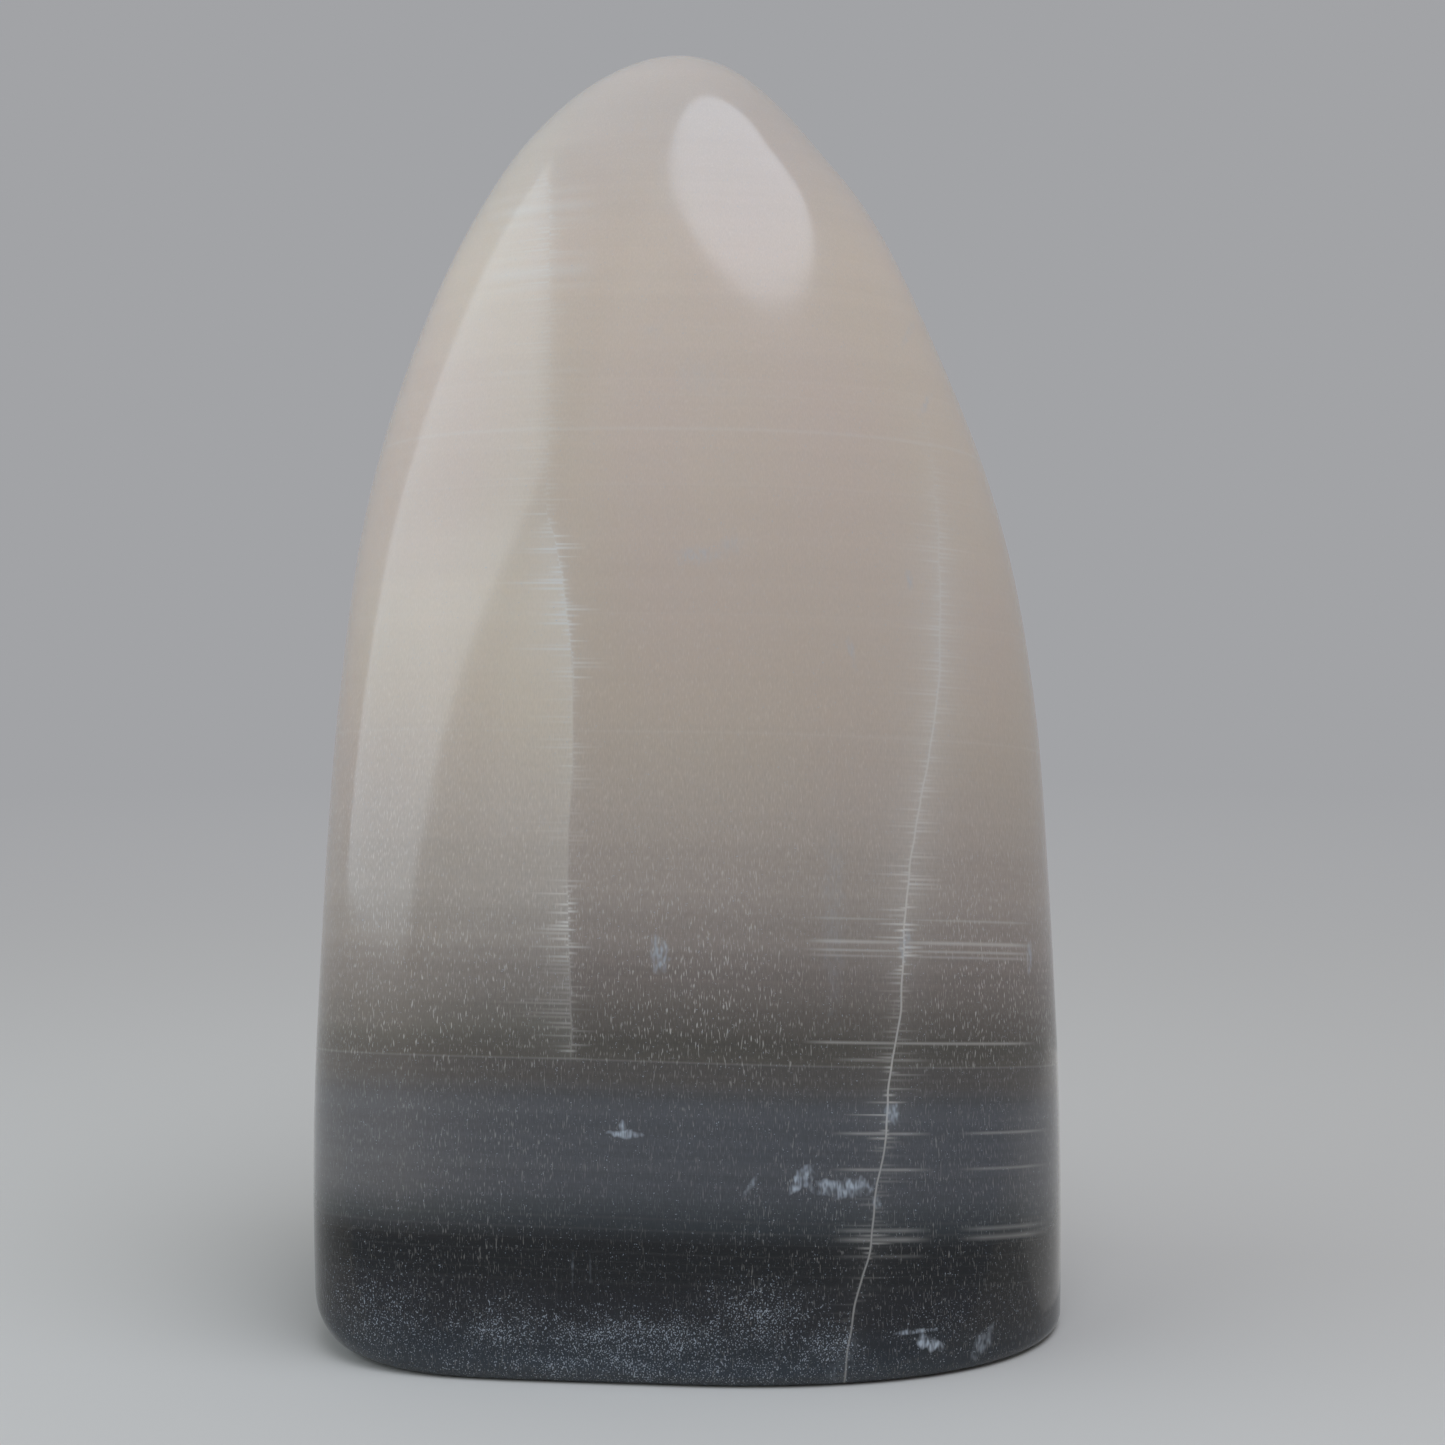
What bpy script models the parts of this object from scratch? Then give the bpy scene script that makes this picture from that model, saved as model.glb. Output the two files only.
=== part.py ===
"""A polished standing stone of layered calcite, cut flat underneath.

The stone is one solid. Its outline is a tall dome: every level is a rounded, slightly
slanted section whose reach to the left, right, front and back follows a smooth curve
from the cut base to the tip. Lengths are in metres, +Z is up, and the origin is at the
middle of the base. The front of the stone faces -Y.
"""

import math

import bmesh
import bpy
import numpy as np

# Driving dimensions
HEIGHT = 0.1150
LEVELS = (0.0, 0.020, 0.040, 0.058, 0.075, 0.090, 0.101, 0.108)

# How far the stone reaches from the upright line through its tip, at each level
REACH_LEFT = (0.0328, 0.0328, 0.0318, 0.0305, 0.0281, 0.0235, 0.0182, 0.0131)
REACH_RIGHT = (0.0352, 0.0349, 0.0338, 0.0322, 0.0286, 0.0227, 0.0170, 0.0113)
REACH_FRONT = (0.0252, 0.0252, 0.0244, 0.0228, 0.0201, 0.0163, 0.0125, 0.0090)
REACH_BACK = (0.0252, 0.0252, 0.0242, 0.0226, 0.0200, 0.0163, 0.0126, 0.0091)

# Radius of the round tip towards each side
TIP_RADIUS_LEFT = 0.0103
TIP_RADIUS_RIGHT = 0.0096
TIP_RADIUS_FRONT = 0.0066
TIP_RADIUS_BACK = 0.0058

# Squareness of the section's corners at each level: 2 is an ellipse, 6 nearly a box
SQUARE_FRONT_LEFT = (5.0, 5.0, 4.8, 4.1, 3.2, 2.6, 2.3, 2.15)
SQUARE_FRONT_RIGHT = (2.2, 2.25, 2.3, 2.35, 2.35, 2.3, 2.2, 2.1)
SQUARE_BACK_RIGHT = (2.6, 2.6, 2.6, 2.5, 2.4, 2.3, 2.2, 2.1)
SQUARE_BACK_LEFT = (3.4, 3.4, 3.2, 2.9, 2.6, 2.4, 2.2, 2.1)
SQUARE_TIP = 2.0

# The front and back slant across the stone: its right-hand side stands further forward
FACE_SLANT = math.tan(math.radians(5.5))

# Rounding of the edge between the sides and the cut base: worn round at the left-hand
# end, from a share of the way out to that end on
EDGE_ROUND = 0.0012
EDGE_ROUND_LEFT = 0.0050
WORN_FROM = 0.50
WORN_FULLY = 0.95

# Fineness of the faceted solid
STEPS_AROUND = 64
STEPS_UP = 36
STEPS_EDGE = 5

STONE_COLOUR = (0.434, 0.386, 0.347, 1.0)
STONE_ROUGHNESS = 0.12


def clear_objects():
    """Empty the scene of the objects it opens with."""
    for item in list(bpy.data.objects):
        bpy.data.objects.remove(item, do_unlink=True)


def smooth_curve(knots, values, at):
    """Values at the points `at` of the natural cubic spline through the knots."""
    knots = np.asarray(knots, dtype=float)
    values = np.asarray(values, dtype=float)
    gaps = np.diff(knots)
    slopes = np.diff(values) / gaps
    system = np.eye(len(knots))
    right_side = np.zeros(len(knots))
    for i in range(1, len(knots) - 1):
        system[i, i - 1:i + 2] = gaps[i - 1], 2.0 * (gaps[i - 1] + gaps[i]), gaps[i]
        right_side[i] = 6.0 * (slopes[i] - slopes[i - 1])
    bend = np.linalg.solve(system, right_side)
    at = np.asarray(at, dtype=float)
    i = np.clip(np.searchsorted(knots, at, side="right") - 1, 0, len(gaps) - 1)
    before = at - knots[i]
    after = knots[i + 1] - at
    gap = gaps[i]
    return (
        bend[i] * after ** 3 / (6.0 * gap)
        + bend[i + 1] * before ** 3 / (6.0 * gap)
        + (values[i] / gap - bend[i] * gap / 6.0) * after
        + (values[i + 1] / gap - bend[i + 1] * gap / 6.0) * before
    )


def up_the_dome(values, tip_value, dome_angles):
    """Smooth curve through a value at each level and one at the tip."""
    knots = np.append(np.arcsin(np.asarray(LEVELS) / HEIGHT), math.pi / 2.0)
    return smooth_curve(knots, np.append(values, tip_value), dome_angles)


def dome_reach(reaches, tip_radius, dome_angles):
    """Reach at each dome angle, the angle whose sine is the level over the height.

    Divided by the cosine of the dome angle, the reach of a round-topped stone changes
    slowly, so a smooth curve through a few levels gives the whole outline.
    """
    level_cosines = np.sqrt(1.0 - (np.asarray(LEVELS) / HEIGHT) ** 2)
    fullness = np.asarray(reaches) / level_cosines
    tip_fullness = math.sqrt(tip_radius * HEIGHT)
    return up_the_dome(fullness, tip_fullness, dome_angles) * np.cos(dome_angles)


def edge_inset(level, radius):
    """How far an edge rounded with this radius steps back at a level above the base."""
    if level >= radius:
        return 0.0
    return radius - math.sqrt(radius ** 2 - (radius - level) ** 2)


def edge_radius(across):
    """Radius of the base edge, where `across` is -1 at the left-hand end of the stone."""
    share = (-across - WORN_FROM) / (WORN_FULLY - WORN_FROM)
    share = min(max(share, 0.0), 1.0)
    eased = share * share * (3.0 - 2.0 * share)
    return EDGE_ROUND + (EDGE_ROUND_LEFT - EDGE_ROUND) * eased


def section_point(turn, level, reach, squareness):
    """One point of the section at a level, `turn` radians on from its right-hand side.

    Each quarter of the section is a quarter of a superellipse, which bulges from an
    ellipse towards a box as its squareness grows.
    """
    across = math.cos(turn)
    along = math.sin(turn)
    side = "right" if across >= 0.0 else "left"
    face = "back" if along >= 0.0 else "front"
    power = squareness[face, side]
    bulge = (abs(across) ** power + abs(along) ** power) ** (-1.0 / power)
    inset = edge_inset(level, edge_radius(across))
    x = across * bulge * (reach[side] - inset)
    y = along * bulge * (reach[face] - inset)
    return (x, y - FACE_SLANT * x, level)


def ring_levels():
    """Heights of the rings: close together at the rounded edge, even in angle above it."""
    edge_steps = np.linspace(0.0, math.pi / 2.0, STEPS_EDGE, endpoint=False)
    near_base = EDGE_ROUND_LEFT * (1.0 - np.cos(edge_steps))
    first_angle = math.asin(EDGE_ROUND_LEFT / HEIGHT)
    dome_steps = np.linspace(first_angle, math.pi / 2.0, STEPS_UP, endpoint=False)
    return np.append(near_base, HEIGHT * np.sin(dome_steps))


def make_rings():
    """Points of every ring from the base up, and the tip, centred over the base."""
    levels = ring_levels()
    angles = np.arcsin(levels / HEIGHT)
    reaches = {
        "left": dome_reach(REACH_LEFT, TIP_RADIUS_LEFT, angles),
        "right": dome_reach(REACH_RIGHT, TIP_RADIUS_RIGHT, angles),
        "front": dome_reach(REACH_FRONT, TIP_RADIUS_FRONT, angles),
        "back": dome_reach(REACH_BACK, TIP_RADIUS_BACK, angles),
    }
    corners = {
        ("front", "left"): up_the_dome(SQUARE_FRONT_LEFT, SQUARE_TIP, angles),
        ("front", "right"): up_the_dome(SQUARE_FRONT_RIGHT, SQUARE_TIP, angles),
        ("back", "right"): up_the_dome(SQUARE_BACK_RIGHT, SQUARE_TIP, angles),
        ("back", "left"): up_the_dome(SQUARE_BACK_LEFT, SQUARE_TIP, angles),
    }
    turns = [2.0 * math.pi * step / STEPS_AROUND for step in range(STEPS_AROUND)]
    rings = []
    for i, level in enumerate(levels):
        reach = {side: values[i] for side, values in reaches.items()}
        squareness = {corner: values[i] for corner, values in corners.items()}
        rings.append([section_point(turn, level, reach, squareness) for turn in turns])
    rings = np.array(rings)
    points = rings.reshape(-1, 3)
    middle = (points.min(axis=0) + points.max(axis=0)) / 2.0
    middle[2] = 0.0
    return rings - middle, np.array((0.0, 0.0, HEIGHT)) - middle


def make_material():
    """Polished calcite in the colour of its pale upper layers."""
    material = bpy.data.materials.new("polished calcite")
    material.use_nodes = True
    shader = material.node_tree.nodes["Principled BSDF"]
    shader.inputs["Base Color"].default_value = STONE_COLOUR
    shader.inputs["Roughness"].default_value = STONE_ROUGHNESS
    shader.inputs["Metallic"].default_value = 0.0
    return material


def make_stone():
    """The stone as one closed solid: a flat base, the rings and a round tip."""
    rings, tip = make_rings()
    shape = bmesh.new()
    loops = [[shape.verts.new(point) for point in ring] for ring in rings]
    shape.faces.new(reversed(loops[0]))
    for lower, upper in zip(loops, loops[1:]):
        for i in range(STEPS_AROUND):
            j = (i + 1) % STEPS_AROUND
            shape.faces.new((lower[i], lower[j], upper[j], upper[i]))
    top = shape.verts.new(tip)
    for i in range(STEPS_AROUND):
        shape.faces.new((loops[-1][i], loops[-1][(i + 1) % STEPS_AROUND], top))
    mesh = bpy.data.meshes.new("stone")
    shape.to_mesh(mesh)
    shape.free()
    mesh.shade_smooth()
    mesh.set_sharp_from_angle(angle=math.radians(40.0))
    mesh.materials.append(make_material())
    stone = bpy.data.objects.new("stone", mesh)
    bpy.context.scene.collection.objects.link(stone)
    return stone


def main():
    clear_objects()
    make_stone()


if __name__ == "__main__":
    main()
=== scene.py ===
"""A polished standing stone of layered calcite, in a plain pale studio.

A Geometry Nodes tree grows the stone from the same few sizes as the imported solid. Its
growth layers, healed cracks, bruises and polish are procedural, and continue all round
and underneath. Lengths of the form are in metres, and measures of the pattern are in
millimetres. The front of the stone faces -Y.
"""

import math
from collections import namedtuple

import bpy
from bpy.props import FloatProperty, FloatVectorProperty, IntProperty, PointerProperty
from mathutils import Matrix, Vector


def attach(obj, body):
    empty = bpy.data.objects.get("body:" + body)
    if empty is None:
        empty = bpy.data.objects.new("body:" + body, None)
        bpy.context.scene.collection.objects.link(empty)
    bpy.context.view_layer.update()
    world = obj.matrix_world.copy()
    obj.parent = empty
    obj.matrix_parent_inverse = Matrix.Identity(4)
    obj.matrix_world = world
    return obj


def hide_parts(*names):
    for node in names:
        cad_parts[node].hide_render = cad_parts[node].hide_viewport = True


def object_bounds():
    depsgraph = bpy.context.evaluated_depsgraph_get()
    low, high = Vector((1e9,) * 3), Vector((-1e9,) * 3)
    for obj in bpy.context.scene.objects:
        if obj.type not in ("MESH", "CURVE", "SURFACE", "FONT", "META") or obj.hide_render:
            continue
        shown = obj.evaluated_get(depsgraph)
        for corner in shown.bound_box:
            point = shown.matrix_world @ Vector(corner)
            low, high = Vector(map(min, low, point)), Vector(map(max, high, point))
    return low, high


bl_info = {
    "name": "Layered Calcite Stone",
    "version": (1, 0, 0),
    "blender": (4, 5, 0),
    "location": "View3D > Sidebar > Calcite",
    "description": "Builds a polished stone of layered calcite and the studio it stands in",
    "category": "Object",
}

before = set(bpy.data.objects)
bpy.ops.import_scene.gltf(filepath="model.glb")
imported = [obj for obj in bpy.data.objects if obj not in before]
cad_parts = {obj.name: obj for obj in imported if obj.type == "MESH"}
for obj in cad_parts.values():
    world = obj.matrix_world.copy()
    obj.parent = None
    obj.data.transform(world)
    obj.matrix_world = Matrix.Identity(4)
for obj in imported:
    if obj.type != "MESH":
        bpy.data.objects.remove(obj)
CAD_LOW, CAD_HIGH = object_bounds()

MM = 0.001
QUARTER_TURN = math.pi / 2.0
VECTOR = "ShaderNodeVectorMath"
MIX = "ShaderNodeMix"
# A Map Range node: values from and to, and what it gives there, which is 0 and 1 if left out
RANGE = "ShaderNodeMapRange"
RAMP = "ShaderNodeValToRGB"
NOISE = "ShaderNodeTexNoise"
SPLIT = "ShaderNodeSeparateXYZ"
# Makes a Map Range node ease in and out
SMOOTH = {"interpolation_type": "SMOOTHSTEP"}
# Nearly all values of a Noise node lie in this span
NOISE_SPAN = (0.2, 0.8)

# The outline: how far the stone reaches from the upright line through its tip
BUILT_HEIGHT = 0.1150
LEVELS = (0.0, 0.020, 0.040, 0.058, 0.075, 0.090, 0.101, 0.108)
REACHES = {
    "left": (0.0328, 0.0328, 0.0318, 0.0305, 0.0281, 0.0235, 0.0182, 0.0131),
    "right": (0.0352, 0.0349, 0.0338, 0.0322, 0.0286, 0.0227, 0.0170, 0.0113),
    "front": (0.0252, 0.0252, 0.0244, 0.0228, 0.0201, 0.0163, 0.0125, 0.0090),
    "back": (0.0252, 0.0252, 0.0242, 0.0226, 0.0200, 0.0163, 0.0126, 0.0091),
}
TIP_RADII = {"left": 0.0103, "right": 0.0096, "front": 0.0066, "back": 0.0058}
FULLEST_REACH = 0.05

# Squareness of the section's corners at each level: 2 is an ellipse, 6 nearly a box
SQUARENESS = {
    ("front", "left"): (5.0, 5.0, 4.8, 4.1, 3.2, 2.6, 2.3, 2.15),
    ("front", "right"): (2.2, 2.25, 2.3, 2.35, 2.35, 2.3, 2.2, 2.1),
    ("back", "right"): (2.6, 2.6, 2.6, 2.5, 2.4, 2.3, 2.2, 2.1),
    ("back", "left"): (3.4, 3.4, 3.2, 2.9, 2.6, 2.4, 2.2, 2.1),
}
SQUARE_TIP = 2.0
SQUAREST = 6.0
WORN_FROM = 0.50
WORN_FULLY = 0.95

# How the rows of faces are shared out between the base edge, the sides and the tip
EDGE_SHARE = 0.06
SIDE_SHARE = 0.96
EVEN_SHARE = 0.65
FILL_STEPS = 10


def linear(hexadecimal):
    """Linear red, green and blue of an sRGB colour written as a hex value."""
    shares = [int(hexadecimal[i:i + 2], 16) / 255.0 for i in (1, 3, 5)]
    return [v / 12.92 if v <= 0.04045 else ((v + 0.055) / 1.055) ** 2.4 for v in shares]


def add(tree, kind, inputs=(), **settings):
    """Add a node, set its properties, and fill its inputs by value or by a link.

    A kind in capitals is an operation of a Math node. Inputs come in the order of those
    in use, or by name. A node given as an input lends its first output in use.
    """
    if kind.isupper():
        kind, settings["operation"] = "ShaderNodeMath", kind
    node = tree.nodes.new(kind)
    for name, value in settings.items():
        setattr(node, name, value)
    if isinstance(inputs, dict):
        pairs = [(node.inputs[name], value) for name, value in inputs.items()]
    else:
        pairs = zip([socket for socket in node.inputs if socket.enabled], inputs)
    for socket, value in pairs:
        if isinstance(value, bpy.types.Node):
            value = next(output for output in value.outputs if output.enabled)
        if isinstance(value, bpy.types.NodeSocket):
            tree.links.new(value, socket)
        else:
            socket.default_value = value
    return node


def chain(tree, operation, *values):
    """Carry the operation through all values in turn, as in the product of them all."""
    result = values[0]
    for value in values[1:]:
        result = add(tree, operation, (result, value))
    return result


def draw_curve(node, points):
    """Give a Float Curve node these points, from left to right."""
    curve = node.mapping.curves[0]
    while len(curve.points) < len(points):
        curve.points.new(1.0, 1.0)
    for point, place in zip(curve.points, points):
        point.location = place
    node.mapping.update()


def fill_ramp(node, stops):
    """Give a Color Ramp node these (place, colour) stops, from left to right."""
    ramp = node.color_ramp
    while len(ramp.elements) < len(stops):
        ramp.elements.new(1.0)
    for element, (place, colour) in zip(ramp.elements, stops):
        element.position = place
        element.color = colour


def colour_setting(name, description, hexadecimal):
    """A colour that a user can change, given as an sRGB hex value."""
    return FloatVectorProperty(
        name=name, description=description, default=(*linear(hexadecimal), 1.0),
        subtype="COLOR", size=4, min=0.0, max=1.0,
    )


def length_setting(name, description, default):
    """A length that a user can change, in metres."""
    return FloatProperty(name=name, description=description, default=default, unit="LENGTH")


def angle_setting(name, description, degrees):
    """An angle that a user can change."""
    return FloatProperty(
        name=name, description=description, default=math.radians(degrees), subtype="ANGLE",
    )


class CalciteShape(bpy.types.PropertyGroup):
    """Sizes of the ground and polished form."""

    height: length_setting("Height", "From the cut base to the tip", CAD_HIGH.z - CAD_LOW.z)
    slant: angle_setting("Slant", "How far the front and back turn across the stone", 5.5)
    edge: length_setting("Base edge", "Rounding of the edge round the cut base", 1.2 * MM)
    edge_left: length_setting(
        "Worn base edge", "Rounding of that edge at the left-hand end", 5.0 * MM,
    )
    wave: length_setting(
        "Hand-ground waves", "Height of the slow waves left by grinding", 0.07 * MM,
    )
    wave_length: length_setting("Wave length", "Distance from one wave to the next", 24.0 * MM)
    steps_around: IntProperty(
        name="Steps around", description="Faces round the stone", default=380, min=16,
    )
    steps_up: IntProperty(
        name="Steps up", description="Rows of faces up the stone", default=226, min=16,
    )


class CalciteFinish(bpy.types.PropertyGroup):
    """Colours of the growth layers, from the tip down, and the marks in them."""

    cap: colour_setting("Cap", "Milky layers under the tip", "#d0c6bb")
    blush: colour_setting("Blush", "Pinkish layers of the upper stone", "#dbccbe")
    beige: colour_setting("Beige", "Beige layers above the middle", "#d3c4b6")
    fawn: colour_setting("Fawn", "Slightly darker beige at the middle", "#c9baac")
    dove: colour_setting("Dove", "Warm grey layers under the fawn ones", "#bcafa4")
    taupe: colour_setting("Taupe", "Greyer layers below the middle", "#a89d94")
    loam: colour_setting("Loam", "Brown-grey layers over the dark ones", "#887e77")
    umber: colour_setting("Umber", "Dark warm layers above the seam", "#5c5750")
    olive: colour_setting("Olive", "Grey layers just below the seam", "#5d5854")
    slate: colour_setting("Slate", "Blue-grey layers", "#56575b")
    dusk: colour_setting("Dusk", "Layers that darken towards the black band", "#33383b")
    soot: colour_setting("Soot", "The nearly black band", "#020202")
    charcoal: colour_setting("Charcoal", "Layers between that band and the base", "#100e11")
    ink: colour_setting("Ink", "Bluish layers at the base", "#2b3239")
    # Colour of painted light: the window's light painted onto the left-hand end of the dark layers
    painted_end_light_colour: colour_setting("Milk", "Haze at the left-hand end of the dark layers", "#dfd0c0")
    crack: colour_setting("Healed crack", "White of healed cracks, partings and dashes", "#e0dcd5")
    bruise: colour_setting("Bruise", "Bluish white of bruises and frost", "#bcc4cd")
    roughness: FloatProperty(
        name="Roughness", description="Of the polished surface", default=0.13, min=0.0, max=1.0,
    )
    depth: length_setting("Translucency", "How far light wanders in the pale layers", 3.0 * MM)
    dip_back: angle_setting("Dip to the back", "How far the layers fall towards the back", 9.6)
    dip_right: angle_setting("Dip to the right", "How far the layers fall to the right", 1.4)


class CalciteStudio(bpy.types.PropertyGroup):
    """The plain floor and wall, the soft lights and the camera."""

    grey: colour_setting("Grey card", "Card under the lens", "#c4c4c4")
    window_tint: colour_setting("Window tint", "Tint of the window light", "#e0f2ff")
    floor: colour_setting("Floor", "Pale matt board under the stone", "#d7d3cc")
    daylight: colour_setting("Daylight", "Tint of the ceiling light", "#e4eeff")
    glow_low: colour_setting("Backdrop, low", "Glow of the backdrop beside the floor", "#a8a9ab")
    glow_high: colour_setting("Backdrop, high", "Glow of the backdrop and the room", "#a2a3a6")
    floor_radius: length_setting(
        "Floor radius", "From the stone to where the floor starts to rise", 0.45,
    )
    window: FloatProperty(
        name="Window", description="Power of the large soft light on the left, in watts",
        default=1.76, min=0.0,
    )
    ceiling: FloatProperty(
        name="Ceiling", description="Power of the soft light overhead, in watts",
        default=3.22, min=0.0,
    )
    rim: FloatProperty(
        name="Rim card", description="Glow of the pale card behind the stone on the right",
        default=0.2, min=0.0,
    )
    lens: FloatProperty(
        name="Lens", description="Focal length on a 36 mm frame, in millimetres",
        default=69.76, min=10.0,
    )


# Inputs of the stone's tree: name, kind of socket, and the setting that fills it
SHAPE_INPUTS = (
    ("Height", "Float", "height"),
    ("Slant", "Float", "slant"),
    ("Base edge", "Float", "edge"),
    ("Worn base edge", "Float", "edge_left"),
    ("Wave", "Float", "wave"),
    ("Wave length", "Float", "wave_length"),
    ("Steps around", "Int", "steps_around"),
    ("Steps up", "Int", "steps_up"),
)
WAVE_SEED = 4
# The waves start above the base: none at the first height, whole at the second
WAVES_START = (2.0 * MM, 12.0 * MM)
# Keeps the squareness from dividing by nothing at the very middle of the base
LEAST_BULGE = 0.01


def up_the_dome(tree, dome_share, values, tip_value, unit):
    """Smooth curve through a value at each level and one at the tip.

    `dome_share` runs from 0 at the base to 1 at the tip, evenly with the dome angle, the
    angle whose sine is the level over the height.
    """
    shares = [math.asin(level / BUILT_HEIGHT) / QUARTER_TURN for level in LEVELS]
    curve = add(tree, "ShaderNodeFloatCurve", {"Value": dome_share})
    draw_curve(curve, [(s, v / unit) for s, v in zip([*shares, 1.0], [*values, tip_value])])
    return add(tree, "MULTIPLY", (curve, unit))


def reach_curve(tree, side, dome_share, dome_cosine):
    """Reach to one side. Over the dome angle's cosine it changes slowly up the stone."""
    fullness = [
        reach / math.sqrt(1.0 - (level / BUILT_HEIGHT) ** 2)
        for reach, level in zip(REACHES[side], LEVELS)
    ]
    tip = math.sqrt(TIP_RADII[side] * BUILT_HEIGHT)
    full = up_the_dome(tree, dome_share, fullness, tip, FULLEST_REACH)
    return add(tree, "MULTIPLY", (full, dome_cosine))


def stone_tree():
    """Geometry Nodes tree that shapes a closed cylinder into the dome of the stone."""
    tree = bpy.data.node_groups.new("ground dome", "GeometryNodeTree")
    inputs = [*SHAPE_INPUTS, ("Seed", "Int", None), ("Material", "Material", None)]
    for name, kind, _ in inputs:
        tree.interface.new_socket(name, in_out="INPUT", socket_type="NodeSocket" + kind)
    tree.interface.new_socket("Stone", in_out="OUTPUT", socket_type="NodeSocketGeometry")
    size = add(tree, "NodeGroupInput").outputs
    blank = add(tree, "GeometryNodeMeshCylinder", {
        "Vertices": size["Steps around"], "Side Segments": size["Steps up"],
        "Fill Segments": FILL_STEPS, "Radius": 1.0, "Depth": 2.0,
    }, fill_type="TRIANGLE_FAN")

    # Where a point of the cylinder lies: its way up, its way out and its direction
    position = add(tree, "GeometryNodeInputPosition")
    rise = add(tree, SPLIT, (position,)).outputs["Z"]
    rise = add(tree, "MULTIPLY_ADD", (rise, 0.5, 0.5))
    flat = add(tree, VECTOR, (position, (1.0, 1.0, 0.0)), operation="MULTIPLY")
    out = add(tree, VECTOR, (flat,), operation="LENGTH")
    heading = add(tree, VECTOR, (flat,), operation="NORMALIZE")
    heading = add(tree, SPLIT, (heading,)).outputs
    across, along = heading["X"], heading["Y"]
    share = add(tree, "MULTIPLY_ADD", (out, SIDE_SHARE - 1.0, 1.0))
    share = add(tree, "MULTIPLY", (share, rise))

    # Level: a round step over the base edge, then even steps in the dome angle
    edge_turn = add(tree, RANGE, (share, 0.0, EDGE_SHARE, 0.0, QUARTER_TURN))
    edge_fall = add(tree, "COSINE", (edge_turn,))
    edge_fall = add(tree, "MULTIPLY", (edge_fall, size["Worn base edge"]))
    steps = add(tree, RANGE, (share, EDGE_SHARE, 1.0))
    eased = add(tree, "MULTIPLY_ADD", (steps, 1.0 - EVEN_SHARE, EVEN_SHARE))
    eased = add(tree, "MULTIPLY", (eased, steps))
    first = add(tree, "DIVIDE", (size["Worn base edge"], size["Height"]))
    first = add(tree, "ARCSINE", (first,))
    angle = add(tree, RANGE, (eased, 0.0, 1.0, first, QUARTER_TURN))
    level = add(tree, "SINE", (angle,))
    level = add(tree, "MULTIPLY", (level, size["Height"]))
    level = add(tree, "SUBTRACT", (level, edge_fall))
    dome_angle = add(tree, "DIVIDE", (level, size["Height"]))
    dome_angle = add(tree, "ARCSINE", (dome_angle,))
    dome_cosine = add(tree, "COSINE", (dome_angle,))
    dome_share = add(tree, "DIVIDE", (dome_angle, QUARTER_TURN))

    # Section: its reach and squareness on the side and the face that the point is on
    on_left = add(tree, "LESS_THAN", (across, 0.0))
    on_front = add(tree, "LESS_THAN", (along, 0.0))
    reach = {side: reach_curve(tree, side, dome_share, dome_cosine) for side in REACHES}
    reach_side = add(tree, MIX, (on_left, reach["right"], reach["left"]))
    reach_face = add(tree, MIX, (on_front, reach["back"], reach["front"]))
    corner = {
        place: up_the_dome(tree, dome_share, values, SQUARE_TIP, SQUAREST)
        for place, values in SQUARENESS.items()
    }
    power = [(on_front, corner["back", side], corner["front", side]) for side in ("right", "left")]
    power = add(tree, MIX, (on_left, *[add(tree, MIX, corners) for corners in power]))
    bulge = 0.0
    for part in (across, along):
        part = add(tree, "ABSOLUTE", (part,))
        part = add(tree, "POWER", (part, power))
        bulge = add(tree, "ADD", (bulge, part))
    bulge = add(tree, "MAXIMUM", (bulge, LEAST_BULGE))
    root = add(tree, "DIVIDE", (-1.0, power))
    bulge = add(tree, "POWER", (bulge, root))

    # Rounded base edge, worn rounder towards the left-hand end
    radius = add(tree, RANGE, (
        across, -WORN_FROM, -WORN_FULLY, size["Base edge"], size["Worn base edge"],
    ), **SMOOTH)
    gap = add(tree, "SUBTRACT", (radius, level))
    gap = add(tree, "MAXIMUM", (gap, 0.0))
    gap = add(tree, "POWER", (gap, 2.0))
    inset = add(tree, "POWER", (radius, 2.0))
    inset = add(tree, "SUBTRACT", (inset, gap))
    inset = add(tree, "SQRT", (inset,))
    inset = add(tree, "SUBTRACT", (radius, inset))

    # The point itself; rings inside the cut base keep their own way out
    side = add(tree, "SIGN", (rise,))
    side = add(tree, "MAXIMUM", (side, out))
    bulge = add(tree, "MULTIPLY", (bulge, side))
    places = []
    for reach, part in ((reach_side, across), (reach_face, along)):
        reach = add(tree, "SUBTRACT", (reach, inset))
        places.append(chain(tree, "MULTIPLY", reach, part, bulge))
    x, y = places
    slant = add(tree, "TANGENT", (size["Slant"],))
    slant = add(tree, "MULTIPLY", (slant, x))
    y = add(tree, "SUBTRACT", (y, slant))
    point = add(tree, "ShaderNodeCombineXYZ", (x, y, level))
    dome = add(tree, "GeometryNodeSetPosition", {"Geometry": blank, "Position": point})

    # Centre the stone over its base
    box = add(tree, "GeometryNodeBoundBox", (dome,)).outputs
    middle = add(tree, VECTOR, (box["Min"], box["Max"]), operation="ADD")
    middle = add(tree, VECTOR, (middle, (-0.5, -0.5, 0.0)), operation="MULTIPLY")
    dome = add(tree, "GeometryNodeSetPosition", {"Geometry": dome, "Offset": middle})

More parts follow.
